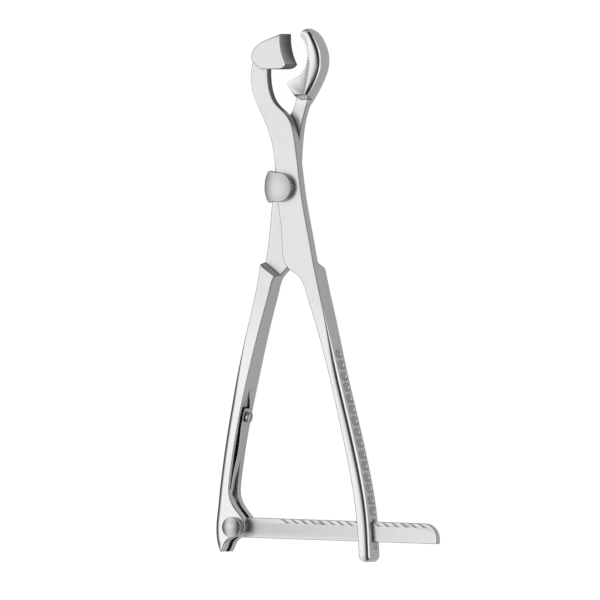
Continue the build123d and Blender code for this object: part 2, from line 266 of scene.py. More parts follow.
# %% Tree that cuts one shape again and again along a line
def build_cut_tree():
    tree = bpy.data.node_groups.new("repeated_cut", "GeometryNodeTree")
    tree.interface.new_socket(name="Result", in_out="OUTPUT", socket_type="NodeSocketGeometry")
    inputs = {"Blank": "Geometry", "Line": "Object", "Cutter": "Object", "Count": "Int",
              "First": "Float", "Pitch": "Float", "Finish": "Material"}
    for name, kind in inputs.items():
        tree.interface.new_socket(name=name, in_out="INPUT", socket_type="NodeSocket" + kind)
    add = tree.nodes.new
    link = tree.links.new
    given = add("NodeGroupInput")
    line = add("GeometryNodeObjectInfo")
    cutter = add("GeometryNodeObjectInfo")
    link(given.outputs["Line"], line.inputs["Object"])
    link(given.outputs["Cutter"], cutter.inputs["Object"])
    points = add("GeometryNodeMeshLine")
    link(given.outputs["Count"], points.inputs["Count"])
    number = add("GeometryNodeInputIndex")
    reach = add("ShaderNodeMath")
    reach.operation = "MULTIPLY_ADD"
    link(number.outputs[0], reach.inputs[0])
    link(given.outputs["Pitch"], reach.inputs[1])
    link(given.outputs["First"], reach.inputs[2])
    spot = add("GeometryNodeSampleCurve")
    spot.mode = "LENGTH"
    link(line.outputs["Geometry"], spot.inputs["Curves"])
    link(reach.outputs[0], spot.inputs["Length"])
    place = add("GeometryNodeSetPosition")
    link(points.outputs["Mesh"], place.inputs["Geometry"])
    link(spot.outputs["Position"], place.inputs["Position"])
    turn = add("FunctionNodeAlignRotationToVector")
    turn.axis = "X"
    turn.pivot_axis = "Z"
    link(spot.outputs["Tangent"], turn.inputs["Vector"])
    copies = add("GeometryNodeInstanceOnPoints")
    link(place.outputs["Geometry"], copies.inputs["Points"])
    link(cutter.outputs["Geometry"], copies.inputs["Instance"])
    link(turn.outputs["Rotation"], copies.inputs["Rotation"])
    real = add("GeometryNodeRealizeInstances")
    link(copies.outputs["Instances"], real.inputs["Geometry"])
    cut = add("GeometryNodeMeshBoolean")
    cut.operation = "DIFFERENCE"
    cut.solver = "EXACT"
    link(given.outputs["Blank"], cut.inputs[0])
    link(real.outputs["Geometry"], cut.inputs[1])
    whole = add("GeometryNodeRealizeInstances")
    link(cut.outputs["Mesh"], whole.inputs["Geometry"])
    finish = add("GeometryNodeSetMaterial")
    link(whole.outputs["Geometry"], finish.inputs["Geometry"])
    link(given.outputs["Finish"], finish.inputs["Material"])
    out = add("NodeGroupOutput")
    link(finish.outputs["Geometry"], out.inputs["Result"])
    return tree


cut_tree = build_cut_tree()


def guide_line(name, points, height):
    """Line that a cutter is repeated along."""
    curve = bpy.data.curves.new(name, "CURVE")
    curve.dimensions = "3D"
    spline = curve.splines.new("POLY")
    spline.points.add(len(points) - 1)
    for point, (x, y) in zip(spline.points, points):
        point.co = (x * MM, y * MM, height * MM, 1)
    obj = bpy.data.objects.new(name, curve)
    bpy.context.scene.collection.objects.link(obj)
    return obj


def repeat_cut(blank, line, cutter, count, first, pitch, finish):
    values = {"Line": line, "Cutter": cutter, "Count": count, "First": first * MM,
              "Pitch": pitch * MM, "Finish": finish}
    modifier = blank.modifiers.new("cuts", "NODES")
    modifier.node_group = cut_tree
    for item in cut_tree.interface.items_tree:
        if item.in_out == "INPUT" and item.name in values:
            modifier[item.identifier] = values[item.name]
    before = len(blank.data.polygons)
    settle(blank)
    print(blank.name, "faces", before, "to", len(blank.data.polygons))
    bpy.data.objects.remove(line)
    bpy.data.objects.remove(cutter)


# %% [markdown]
# ## Steel
#
# The instrument is stainless steel: satin where it was only ground, on the lock and the bar, and
# brighter on the handles and the hook, where it was buffed. A flat grey would look like plastic, so
# one recipe makes all the steels from noise. Fine drawn lines come from noise stretched along Y and
# move the roughness and a faint bump, and a slow cloud moves the tone. An attribute named rim
# paints light into the colour: it darkens the thin edges as a painted dark reflection, and the dips
# as painted shade.

# %% Nodes that the materials share
def remap(tree, source, reads, gives, kind="LINEAR"):
    """Map Range node that turns the range reads of source into the range gives."""
    node = tree.nodes.new("ShaderNodeMapRange")
    node.interpolation_type = kind
    for socket, value in zip(("From Min", "From Max", "To Min", "To Max"), (*reads, *gives)):
        node.inputs[socket].default_value = value
    tree.links.new(source, node.inputs["Value"])
    return node


def noise(tree, source, scale, detail):
    node = tree.nodes.new("ShaderNodeTexNoise")
    node.inputs["Scale"].default_value = scale
    node.inputs["Detail"].default_value = detail
    tree.links.new(source, node.inputs["Vector"])
    return node.outputs["Fac"]


def darken(tree, by):
    """Mix node that multiplies its colour A by a value."""
    node = tree.nodes.new("ShaderNodeMix")
    node.data_type = "RGBA"
    node.blend_type = "MULTIPLY"
    node.inputs["Factor"].default_value = 1.0
    tree.links.new(by, node.inputs["B"])
    return node


# %% Recipe for the steels
JAW_STARTS = (40 * MM, 48 * MM)


def steel(name, tone, rough_near, rough_far, lines, fade=(-50, -100), rough_jaw=None):
    """rough_near holds on the lock and rough_far on the handles, with a blend over fade, which is Y
    in mm. rough_jaw holds from the neck up, and is rough_near if none is given."""
    mat = bpy.data.materials.new(name)
    mat.use_nodes = True
    tree = mat.node_tree
    nodes, link = tree.nodes, tree.links.new
    shader = nodes["Principled BSDF"]
    shader.inputs["Metallic"].default_value = 1.0
    place = nodes.new("ShaderNodeTexCoord")
    stretch = nodes.new("ShaderNodeMapping")
    stretch.inputs["Scale"].default_value = (5200, 160, 5200)
    link(place.outputs["Object"], stretch.inputs["Vector"])
    grain = noise(tree, stretch.outputs["Vector"], 1.0, 3.0)
    cloud = noise(tree, place.outputs["Object"], 55.0, 4.0)
    tint = remap(tree, cloud, (0.25, 0.75), (0.965, 1.0))
    colour = darken(tree, tint.outputs["Result"])
    colour.inputs["A"].default_value = (*tone, 1)
    # Painted shade: the rim attribute darkens the colour, as a painted dark reflection on thin edges
    # and painted shade in the dips.
    rim = nodes.new("ShaderNodeAttribute")
    rim.attribute_name = "rim"
    shade = remap(tree, rim.outputs["Fac"], (0, 1), (1.0, 0.3))
    edge_and_dip_shaded = darken(tree, shade.outputs["Result"])
    link(colour.outputs["Result"], edge_and_dip_shaded.inputs["A"])
    link(edge_and_dip_shaded.outputs["Result"], shader.inputs["Base Color"])
    axis = nodes.new("ShaderNodeSeparateXYZ")
    link(place.outputs["Object"], axis.inputs["Vector"])
    near_far = remap(tree, axis.outputs["Y"], (fade[0] * MM, fade[1] * MM), (rough_near, rough_far),
                     "SMOOTHSTEP")
    jaw = remap(tree, axis.outputs["Y"], JAW_STARTS, (0, rough_jaw or rough_near))
    link(near_far.outputs["Result"], jaw.inputs["To Min"])
    uneven = remap(tree, grain, (0.3, 0.7), (-0.04, 0.04))
    total = nodes.new("ShaderNodeMath")
    total.operation = "ADD"
    total.use_clamp = True
    link(jaw.outputs["Result"], total.inputs[0])
    link(uneven.outputs["Result"], total.inputs[1])
    link(total.outputs[0], shader.inputs["Roughness"])
    bump = nodes.new("ShaderNodeBump")
    bump.inputs["Strength"].default_value = lines
    bump.inputs["Distance"].default_value = 0.02 * MM
    link(grain, bump.inputs["Height"])
    link(bump.outputs["Normal"], shader.inputs["Normal"])
    return mat


ground_tone = (0.63, 0.63, 0.635)
leg_steel = steel("leg_steel", ground_tone, 0.34, 0.16, 0.35)
hook_steel = steel("hook_steel", ground_tone, 0.34, 0.16, 0.35, rough_jaw=0.13)
cap_steel = steel("cap_steel", (0.53, 0.53, 0.535), 0.27, 0.27, 0.04)
bar_steel = steel("bar_steel", ground_tone, 0.33, 0.33, 0.4)
bright_steel = steel("bright_steel", (0.62, 0.62, 0.625), 0.2, 0.2, 0.15)
spring_steel = steel("spring_steel", (0.6, 0.6, 0.61), 0.24, 0.24, 0.3)
steels = (leg_steel, hook_steel, cap_steel, bar_steel, bright_steel, spring_steel)
print("finishes", [mat.name for mat in steels])


# %% [markdown]
# ## Giving a piece its finish
#
# A piece is shaded smooth, with a hard line wherever two faces meet at more than a given angle. Its
# thin edges and dips are written to the rim attribute: bevel shading could find them while
# rendering, but an attribute is measured once and goes with the mesh. The piece then rides on its
# body, stands for the solid of the same metal, and takes its material.

# %% How sharply the surface bends at each point
DIP_STARTS, DIP_WIDTH = 0.12, 0.1
LEAST_TURN, LEAST_REACH = 0.05, 0.05


# Painted light: this measure darkens the steel colour, as a painted dark reflection on thin outward
# edges and painted shade in the dips.
def painted_edge_and_dip_shade(work, soft=0.9, sharp=2.4, hollow=0.42):
    """hollow in a dip, 0 on flat and broadly rounded metal, 1 on a thin outward edge. soft and
    sharp are turns in radians per mm."""
    rim = np.zeros(len(work.verts))
    for edge in work.edges:
        if len(edge.link_faces) != 2:
            continue
        turn = edge.calc_face_angle_signed(0)
        if abs(turn) < LEAST_TURN:
            continue
        one, two = (face.calc_center_median() for face in edge.link_faces)
        middle = (edge.verts[0].co + edge.verts[1].co) / 2
        along = (edge.verts[1].co - edge.verts[0].co).normalized()
        reach = sum(((spot - middle) - along * (spot - middle).dot(along)).length
                    for spot in (one, two)) / MM
        bend = turn / max(reach, LEAST_REACH)
        if turn > 0:
            value = min(max((bend - soft) / (sharp - soft), 0), 1)
        else:
            value = hollow * min(max((-bend - DIP_STARTS) / DIP_WIDTH, 0), 1)
        for vert in edge.verts:
            rim[vert.index] = max(rim[vert.index], value)
    return rim.astype(np.float32)


# %% Finish a piece
def finish_piece(obj, body, node, material, crease=30):
    """crease is the angle, in degrees, from which an edge is shaded as a hard line."""
    clean(obj)
    work = bmesh.new()
    work.from_mesh(obj.data)
    for face in work.faces:
        face.smooth = True
        face.material_index = 0
    for edge in work.edges:
        edge.smooth = len(edge.link_faces) == 2 and edge.calc_face_angle(0) < math.radians(crease)
    open_edges = sum(len(edge.link_faces) != 2 for edge in work.edges)
    # rim holds the painted shade of each point: a painted dark reflection on thin edges and painted
    # shade in dips.
    rim = painted_edge_and_dip_shade(work)
    work.to_mesh(obj.data)
    work.free()
    obj.data.attributes.new("rim", "FLOAT", "POINT").data.foreach_set("value", rim)
    obj.data.materials.clear()
    obj.data.materials.append(material)
    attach(obj, body)
    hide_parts(node)
    obj.data.calc_loop_triangles()
    print(obj.name, "triangles", len(obj.data.loop_triangles), "open edges", open_edges)


# %% [markdown]
# ## A forged leg from neck to handle
#
# Each leg is one bar of steel whose section changes all the way: thin at the neck, flat in the lock,
# full in the handle. A plate can't change its height, and a box sculpted with modifiers loses its
# crisp shoulders, so the leg is lofted through sections. A section runs from the left edge to the
# right edge of the leg, and has its own heights and its own rounding on each side.

# %% Section of a leg
CORNER = 8
ACROSS = 8
LEFT_Y, RIGHT_Y = 1, 3


def section(width, low, high, round_left, round_right, left_columns, right_columns):
    """Closed list of (across, height). low and high are pairs, at the left and at the right edge.
    round_left and round_right are (across, down) and left_columns are extra heights on a side."""
    (wide_l, deep_l), (wide_r, deep_r) = round_left, round_right
    # Where the leg is narrower than its two roundings, both shrink to fit.
    fit = min(1.0, 0.9 * width / (wide_l + wide_r))
    wide_l, wide_r = wide_l * fit, wide_r * fit
    deep_l = min(deep_l, 0.45 * (high[0] - low[0]))
    deep_r = min(deep_r, 0.45 * (high[1] - low[1]))
    points = []
    quarter = np.linspace(0, math.pi / 2, CORNER + 1)
    for z in np.clip(left_columns, low[0] + deep_l, high[0] - deep_l):
        points.append((0, z))
    for q in quarter:
        points.append((wide_l * (1 - math.cos(q)), high[0] - deep_l * (1 - math.sin(q))))
    for t in np.linspace(0, 1, ACROSS + 1)[1:-1]:
        s = wide_l + (width - wide_l - wide_r) * t
        points.append((s, high[0] + (high[1] - high[0]) * t))
    for q in quarter:
        points.append((width - wide_r * (1 - math.sin(q)), high[1] - deep_r * (1 - math.cos(q))))
    for z in np.clip(right_columns, low[1] + deep_r, high[1] - deep_r):
        points.append((width, z))
    for q in quarter:
        points.append((width - wide_r * (1 - math.cos(q)), low[1] + deep_r * (1 - math.sin(q))))
    for t in np.linspace(0, 1, ACROSS + 1)[1:-1]:
        s = wide_l + (width - wide_l - wide_r) * (1 - t)
        points.append((s, low[1] + (low[0] - low[1]) * t))
    for q in quarter:
        points.append((wide_l * (1 - math.sin(q)), low[0] + deep_l * (1 - math.cos(q))))
    return points


# %% Rows of sections along a leg
def leg_rows(stations, extra_y, count=560):
    """Left x, y and right x, y at each row, with a row more at each (column, y) of extra_y."""
    dense = np.linspace(0, 1, 4001)
    track = smooth_line(stations, dense)
    shares = list(np.linspace(0, 1, count))
    for column, y in extra_y:
        shares.append(float(np.interp(-y, -track[:, column], dense)))
    return smooth_line(stations, np.array(sorted(shares)))


def place_section(left, right, outline):
    """Stands a section upright between two points of the leg's edges."""
    left, right = np.array(left), np.array(right)
    way = (right - left) / np.linalg.norm(right - left)
    return [(left[0] + way[0] * s, left[1] + way[1] * s, z) for s, z in outline]


# %% [markdown]
# ## The block leg
#
# The right handle, the front half of the lock and the neck of the smooth jaw. Its outer edge carries
# fifteen scoops for the fingers, and near its end there is a window for the ratchet bar.

# %% Edges of the block leg, from the neck to the end of the handle
block_stations = [
    (-17.6, 64.0, -8.9, 64.0), (-18.8, 55.0, -8.7, 53.0), (-16.9, 45.6, -5.3, 43.0),
    (-11.3, 34.4, 3.0, 35.0), (-6.8, 23.6, 6.9, 23.6), (-2.9, -8.0, 11.3, -6.5),
    (-0.5, -28.0, 15.4, -26.5), (0.8, -38.2, 16.7, -33.0), (3.9, -42.0, 17.5, -37.0),
    (8.4, -44.8, 18.4, -41.2), (11.2, -48.2, 19.6, -46.2), (13.4, -53.6, 21.1, -52.6),
    (17.4, -65.0, 24.4, -65.0), (27.4, -96.2, 33.0, -97.0), (33.2, -119.0, 39.1, -119.4),
    (38.0, -139.2, 44.2, -139.4), (43.0, -168.0, 49.6, -168.0), (44.6, -187.1, 50.8, -187.1),
]
window_top = -168.4
window_bottom = -183.75
window_half = 1.95
right_shoulder = [(RIGHT_Y, -37.9 - 0.25 * i) for i in range(20)]
left_shoulder = [(LEFT_Y, -44.0 - 0.3 * i) for i in range(20)]
block_track = leg_rows(block_stations, right_shoulder + left_shoulder
                       + [(LEFT_Y, window_top), (LEFT_Y, window_bottom)])


def block_heights(left_y, right_y):
    """Heights at the left and right edge: thin neck, flat lock, shoulder, swelling handle."""
    down = -(left_y + right_y) / 2
    neck = ramp(down, -42, -18, neck_step, 0)
    swell = ramp(down, 52, 105, front_high, handle_high)
    low_left = ramp(-left_y, 45.5, 50.5, front_low, handle_low)
    low_right = ramp(-right_y, 37.9, 42.0, front_low, handle_low)
    return (low_left + neck, low_right + neck), (swell - neck, swell - neck)


shank_edge, inner_edge = 0.42, 0.7
outer_wide, outer_deep = 3.9, 2.6
window_left = [mid - window_half, mid + window_half]
window_right = window_left[::-1]
block_rings = []
for lx, ly, rx, ry in block_track:
    low, high = block_heights(ly, ry)
    fine = ramp(-ly, 50, 75, shank_edge, inner_edge)
    wide = ramp(-ly, 55, 100, 0.5, outer_wide)
    deep = ramp(-ly, 55, 100, 0.5, outer_deep)
    width = math.hypot(rx - lx, ry - ly)
    outline = section(width, low, high, (fine, fine), (wide, deep), window_left, window_right)
    block_rings.append(place_section((lx, ly), (rx, ry), outline))

# %% Rounded end of the right handle
end_left, end_y, end_right, _ = block_stations[-1]
end_middle = (end_left + end_right) / 2
end_radius = 3.1
end_thinning = 1.9
for q in np.linspace(0, math.radians(86), 14)[1:]:
    half = end_radius * math.cos(q)
    shrink = end_thinning * (1 - math.cos(q))
    y = end_y - end_radius * math.sin(q)
    outline = section(2 * half, (handle_low + shrink,) * 2, (handle_high - shrink,) * 2,
                      (inner_edge, inner_edge), (outer_wide, outer_deep), window_left, window_right)
    block_rings.append(place_section((end_middle - half, y), (end_middle + half, y), outline))

# %% Faces of the block leg, with the window left open and lined
# A section starts with its two left columns. The right ones come after two corners and the top.
columns = len(block_rings[0])
right_first = 2 + (CORNER + 1) * 2 + ACROSS - 1
block_faces = []
row_y = block_track[:, 1]
first_row = int(np.argmin(abs(row_y - window_top)))
last_row = int(np.argmin(abs(row_y - window_bottom)))
for i in range(len(block_rings) - 1):
    inside = first_row <= i < last_row
    a, b = i * columns, (i + 1) * columns
    for j in range(columns):
        k = (j + 1) % columns
        if not (inside and j in (0, right_first)):
            block_faces.append((a + j, a + k, b + k, b + j))
    if inside:
        block_faces.append((a + 1, a + right_first, b + right_first, b + 1))
        block_faces.append((a, a + right_first + 1, b + right_first + 1, b))
for row in (first_row, last_row):
    a = row * columns
    block_faces.append((a, a + 1, a + right_first, a + right_first + 1))
block_faces.append(tuple(range(columns)))
block_faces.append(tuple((len(block_rings) - 1) * columns + j for j in range(columns)))
block_leg = make_piece("right_handle_and_block_jaw", np.array(block_rings).reshape(-1, 3), block_faces)
print("block leg rows", len(block_rings), "columns", columns)

# %% [markdown]
# The scoops are shallow round dips, ground in with a small wheel so that wet fingers don't slip. A
# displaced surface would need a very fine mesh, so they are cut. The cutter is a capsule, a little
# longer than it is wide, that only just bites into the edge.

# %% Finger scoops
scoop_radius = 3.3
scoop_depth = 0.95
scoop_half = 0.6
scoop_count = 15
scoop_pitch = 5.87
scoops_start = -84.9


def capsule(name, radius, half, out, steps=32, rings=20):
    """Upright capsule, half its straight length each way, with its axis moved by out along Y."""
    levels = []
    for q in np.linspace(-math.pi / 2, math.pi / 2, rings):
        levels.append((radius * math.cos(q), radius * math.sin(q) + (half if q > 0 else -half)))
    points = []
    for r, z in levels:
        for a in np.linspace(0, 2 * math.pi, steps, endpoint=False):
            points.append((r * math.cos(a), out + r * math.sin(a), z))
    return stack_of_rings(name, np.array(points).reshape(rings, steps, 3))


outer_line = block_track[:, 2:]
start_row = int(np.argmin(abs(outer_line[:, 1] - scoops_start)))
scoop_line = guide_line("scoop_line", outer_line[start_row:], mid)
scoop_cutter = capsule("scoop_cutter", scoop_radius, scoop_half, scoop_radius - scoop_depth)
repeat_cut(block_leg, scoop_line, scoop_cutter, scoop_count, 0.0, scoop_pitch, leg_steel)

# %% [markdown]
# The block jaw is a thick plate with a hollow, smooth gripping face. Its rim is a narrow rounding
# that catches the light. A plate over one outline fits it, because both its faces are flat. Behind
# the cap, an open notch lets the front leg hook round the post, so that the lock comes apart.

# %% Block jaw
block_back = smooth_line([(-1.1, 77.5), (-9.0, 74.6), (-15.6, 70.9), (-18.0, 65.6), (-12.4, 59.6)],
                         np.linspace(0, 1, 60))
block_foot = smooth_line([(-12.4, 59.6), (-3.4, 59.6), (1.0, 60.5), (2.5, 61.9)], np.linspace(0, 1, 24))
block_face = arc_through((2.5, 61.9), (-0.5, 69.7), (-1.1, 77.5), 40)
block_outline = anticlockwise(np.vstack([block_back[:-1], block_foot[:-1], block_face[:-1]]))
block_jaw = plate("block_jaw", block_outline, jaw_low, jaw_high, 0.5, 0.5, steps=3)
combine(block_leg, block_jaw, "UNION")

# %% Open notch that hooks round the post
post_hole = 3.55
mouth = -12
notch = np.vstack([(mouth, -post_hole), arc((0, 0), post_hole, -90, 90, 25), (mouth, post_hole)])
notch_cutter = plate("notch_cutter", anticlockwise(notch), front_low - 1, front_high + 1,
                     0.01, 0.01, steps=1)
combine(block_leg, notch_cutter, "DIFFERENCE")
finish_piece(block_leg, "block_side", "block_leg", leg_steel)

# %% [markdown]
# ## The hook leg
#
# The left handle, the rear half of the lock and the neck of the toothed jaw. Its inner side has a
# channel for the leaf spring, which deepens into the fork that holds the ratchet bar. The channel
# could be cut by a boolean, but it changes its depth all the way, so four points on the right side
# of each section are simply pushed in.

# %% Edges of the hook leg, from the neck to the foot of the handle
hook_stations = [
    (6.8, 52.0, 13.6, 51.0), (4.6, 44.8, 11.6, 44.4), (2.9, 39.5, 9.9, 39.0),
    (-1.0, 34.0, 8.4, 34.0), (-5.6, 28.0, 7.0, 27.0), (-7.4, 14.0, 5.6, 12.0),
    (-9.2, -8.4, 3.6, -8.4), (-11.2, -27.0, 1.4, -29.0), (-12.5, -35.5, 0.2, -40.4),
    (-13.0, -38.0, -3.6, -44.4), (-13.5, -41.5, -5.4, -46.6), (-15.4, -51.5, -7.6, -53.2),
    (-18.2, -63.0, -10.5, -63.0), (-26.4, -95.0, -19.2, -95.0), (-32.4, -123.7, -25.9, -123.7),
    (-36.4, -149.0, -30.1, -149.0), (-37.4, -157.0, -30.2, -157.0), (-38.1, -163.5, -26.9, -163.5),
    (-38.7, -168.0, -22.9, -168.2), (-39.1, -173.0, -21.2, -173.0), (-39.05, -175.6, -22.2, -175.6),
    (-38.95, -177.2, -25.4, -177.2), (-38.85, -178.2, -29.6, -178.2), (-38.65, -179.5, -31.8, -179.5),
    (-38.1, -181.5, -33.0, -181.5), (-37.2, -183.8, -34.0, -183.8), (-36.0, -185.3, -35.1, -185.3),
]
hook_track = leg_rows(hook_stations, [(LEFT_Y, -37.6 - 0.2 * i) for i in range(20)]
                      + [(RIGHT_Y, -44.0 - 0.15 * i) for i in range(20)]
                      + [(LEFT_Y, -156.0 - 0.25 * i) for i in range(20)])


def hook_heights(left_y, right_y):
    """The same for the rear leg, whose front face rises at its shoulder."""
    down = -(left_y + right_y) / 2
    neck = ramp(down, -34, -16, neck_step, 0)
    swell = ramp(down, 52, 105, 0, handle_high - front_high)
    high_left = ramp(-left_y, 38.0, 39.6, rear_high, front_high)
    high_right = ramp(-right_y, 44.8, 45.8, rear_high, front_high)
    return (rear_low + neck - swell,) * 2, (high_left - neck + swell, high_right - neck + swell)


# %% Channel for the spring, and the fork below it
channel_floor = np.array([
    (103.0, 0.0), (106.0, 0.5), (117.0, 1.2), (135.0, 2.9), (150.0, 4.3), (157.0, 5.9), (163.5, 9.3),
    (168.0, 13.3), (173.0, 15.3), (175.6, 14.4), (177.2, 11.3), (178.2, 7.1), (179.5, 5.0),
    (181.5, 3.9), (184.0, 2.3), (185.3, 0.3),
])
channel_up, channel_down, fork_half = 5.3, 2.4, 1.85
channel_start = mid + 1.5
least_wall = 0.8


def channel_depth(y):
    """How far the channel goes in from the right edge at y."""
    return float(np.interp(-y, channel_floor[:, 0], channel_floor[:, 1]))


hook_rings = []
for lx, ly, rx, ry in hook_track:
    low, high = hook_heights(ly, ry)
    fine = float(ramp(-ry, 46, 60, 0.42, 0.6) + ramp(-ry, 179, 184, 0, 0.8))
    wide = ramp(-ly, 65, 115, 0.5, 3.6)
    deep = ramp(-ly, 65, 115, 0.5, 2.8)
    opened = ramp(-ry, 103, 113, 0.12, 1)
    upper = channel_start + opened * (ramp(-ry, 152, 160, channel_up, fork_half) - 1.5)
    lower = channel_start - opened * (ramp(-ry, 152, 160, channel_down, fork_half) + 1.5)
    width = math.hypot(rx - lx, ry - ly)
    outline = section(width, low, high, (wide, deep), (fine, fine), [mid - 1, mid + 1],
                      [upper, upper, lower, lower])
    depth = min(channel_depth(ry), width - least_wall)
    if depth > 0.01:
        for k in (right_first + 1, right_first + 2):
            outline[k] = (outline[k][0] - depth, outline[k][1])
    hook_rings.append(place_section((lx, ly), (rx, ry), outline))
hook_leg = stack_of_rings("left_handle_and_hook_jaw", hook_rings)
print("hook leg rows", len(hook_rings))

# %% [markdown]
# The hook jaw is the hardest form of the instrument: a hook that is crowned towards its outer edge,
# thins out to its tip and bites with fine teeth cut straight across. Sculpting would blur the teeth
# and the bite, so it is the same kind of plate as the block jaw. Its outer edge is rounded broadly,
# so that the light runs round it, and near each corner of the outline the rounding gets narrower.

# %% Hook jaw
hook_centre = (0.2, 66.6)
hook_radius = 14.0
hook_back = smooth_line([(10.3, 77.4), (12.0, 79.2), (14.3, 79.0), (17.4, 75.6), (20.4, 69.6),
                         (21.4, 63.2), (19.4, 55.7), (15.9, 49.2), (12.5, 43.9), (10.7, 41.0)],
                        np.linspace(0, 1, 110))
hook_step = smooth_line([(10.7, 41.0), (8.6, 43.6), (6.6, 46.6)], np.linspace(0, 1, 12))
hook_under = np.linspace((6.6, 46.6), (2.6, 51.8), 10)
hook_beak = np.linspace((2.6, 51.8), (2.9, 53.1), 3)
hook_bite = arc(hook_centre, hook_radius, -52, 43, 70)
hook_outline = np.vstack([hook_back[:-1], hook_step[:-1], hook_under[:-1], hook_beak, hook_bite])

# %% Width of the rounding along the outline of the hook jaw
crown_wide, crown_sink = 4.4, 0.8
along = np.linspace(0, 1, len(hook_back) - 1)
back_wide = np.interp(along, [0, 0.08, 0.16, 0.3, 0.8, 0.92, 1],
                      [0.35, 0.8, 1.8, crown_wide, crown_wide, 1.6, 0.3])
step_wide = np.interp(np.linspace(0, 1, 11), [0, 0.5, 1], [0.3, 2.2, 0.8])
share = np.concatenate([back_wide, step_wide, np.full(9, 0.5), np.full(3 + len(hook_bite), 0.3)])
# The mean of nine neighbours lets the width change softly.
share = np.convolve(np.r_[share[-4:], share, share[:4]], np.ones(9) / 9, "valid")
for corner in ((10.3, 77.4), (10.44, 76.15), (10.7, 41.0), (2.6, 51.8), (2.9, 53.1)):
    share = np.minimum(share, 0.05 + 0.22 * np.hypot(*(hook_outline - corner).T))
hook_jaw = plate("hook_jaw", hook_outline[::-1], jaw_low, jaw_high, share[::-1], 2.2, bulge=1.1,
                 profile=crowned(crown_wide, crown_sink))

# %% The tip gets thinner from behind
def cut_across(obj, name, shape, x_start, x_end):
    """Cuts away a prism that lies along X over shape, a closed list of (y, height)."""
    cutter = stack_of_rings(name, [[(x, y, z) for y, z in shape] for x in (x_start, x_end)])
    combine(obj, cutter, "DIFFERENCE")


tip_rise = 7.4
tip_start, tip_length = 67, 13
tip_line = [(y, jaw_low - 0.02 + tip_rise * max((y - tip_start) / tip_length, 0)**3)
            for y in np.linspace(66, 82, 40)]
cut_across(hook_jaw, "tip_cutter", [(66, jaw_low - 4)] + tip_line + [(82, jaw_low - 4)], 4, 28)

# %% The thick jaw runs out into the thin neck, in front and behind
inside_neck = 0.25
neck_top = rear_high - neck_step - inside_neck
neck_bottom = rear_low + neck_step + inside_neck
front_step = [(y, ramp(y, 43.6, 47.2, neck_top, jaw_high + 0.05)) for y in np.linspace(47.2, 43.6, 24)]
front_shape = [(36, 14), (48, 14), (48, jaw_high + 0.05)] + front_step + [(36, neck_top)]
rear_step = [(y, ramp(y, 41.5, 47.0, neck_bottom, jaw_low - 0.05)) for y in np.linspace(41.5, 47.0, 24)]
rear_shape = [(48, -4), (36, -4), (36, neck_bottom)] + rear_step + [(48, jaw_low - 0.05)]
for shape in (front_shape, rear_shape):
    cut_across(hook_jaw, "step_cutter", shape, 0, 28)

# %% Fine teeth across the bite
tooth_count = 15
tooth_depth = 1.1
tooth_pitch = math.radians(90 / tooth_count) * hook_radius
tooth_half = tooth_pitch * 0.46
tooth = [(-tooth_half, 0.3), (0.0, -tooth_depth), (tooth_half, 0.3)]
tooth_cutter = plate("tooth_cutter", anticlockwise(tooth), -9, 9, 0.001, 0.001, steps=1)
bite_line = guide_line("bite_line", arc(hook_centre, hook_radius, -47, 43, 200), mid)
repeat_cut(hook_jaw, bite_line, tooth_cutter, tooth_count, tooth_pitch / 2, tooth_pitch, hook_steel)
combine(hook_leg, hook_jaw, "UNION")


# %% [markdown]
# ## Turned parts
#
# The post, the pin and the screw were turned on a lathe, so each is a profile spun round its axis.
# The Screw modifier does the same, but rings of points keep one way of making solids for the whole
# script, and the same helper makes the tools that bore the holes.

# %% Spin a profile of (radius, height) round an axis
def turned(name, profile, centre, steps=96):
    angles = np.linspace(0, 2 * math.pi, steps, endpoint=False)
    rings = [[(centre[0] + r * math.cos(a), centre[1] + r * math.sin(a), z) for a in angles]
             for r, z in profile]
    return stack_of_rings(name, rings)


def dome(radius, low, high, steps=14):
    """Profile of a domed head from its rim up to its middle."""
    sag = high - low
    ball = (radius**2 + sag**2) / (2 * sag)
    reach = math.asin(radius / ball)
    return [(ball * math.sin(q), high - ball + ball * math.cos(q))
            for q in np.linspace(reach, 0, steps)]


# %% Bores for the post and the pin
pin = (-27.7, -172.9)
pin_hole = 2.55
post_bore = turned("post_bore", [(0, -1.0), (4.75, -1.0), (4.75, 0.0), (post_hole, 1.2),
                                 (post_hole, 7.0), (0, 7.0)], (0, 0))
combine(hook_leg, post_bore, "DIFFERENCE")
pin_bore = turned("pin_bore", [(0, handle_low - 1), (3.45, handle_low - 1), (3.45, handle_low),
                               (pin_hole, handle_low + 0.9), (pin_hole, handle_high + 1),
                               (0, handle_high + 1)], pin)
combine(hook_leg, pin_bore, "DIFFERENCE")
finish_piece(hook_leg, "hook_side", "hook_leg", hook_steel)

# %% [markdown]
# ## The cap of the lock
#
# The post ends in a D-shaped cap with a low dome and a thin rim. Its flat side is nearly straight.
# Cutting the cap out of a ball would leave a sharp rim, so rings go up its side and round the rim,
# and then shrink towards the middle on the surface of one ball.

# %% Cap and post
cap_low = front_high + 0.1
cap_side = arc_through((-7.6, 7.7), (-9.3, 0.0), (-7.9, -7.7), 40)
cap_round = arc_through((-0.6, -7.7), (6.9, -0.2), (-0.8, 7.1), 60)
corner_low = smooth_line([tuple(cap_side[-3]), (-7.3, -7.95), (-4.6, -7.75), (-0.6, -7.7)],
                         np.linspace(0, 1, 16))
corner_high = smooth_line([(-0.8, 7.1), (-4.4, 7.6), (-7.2, 7.85), tuple(cap_side[2])],
                          np.linspace(0, 1, 16))
cap_outline = anticlockwise(np.vstack([cap_side[2:-3], corner_low[:-1], cap_round[:-1],
                                       corner_high[:-1]]))
cap_centre = np.array((-1.2, -0.1))
cap_top = cap_low + 4.0
cap_ball = 26.0
cap_edge = 0.35


def cap_dome(flat):
    """Height of the dome over points of the plan."""
    return cap_top - cap_ball + np.sqrt(cap_ball**2 - (flat**2).sum(1))


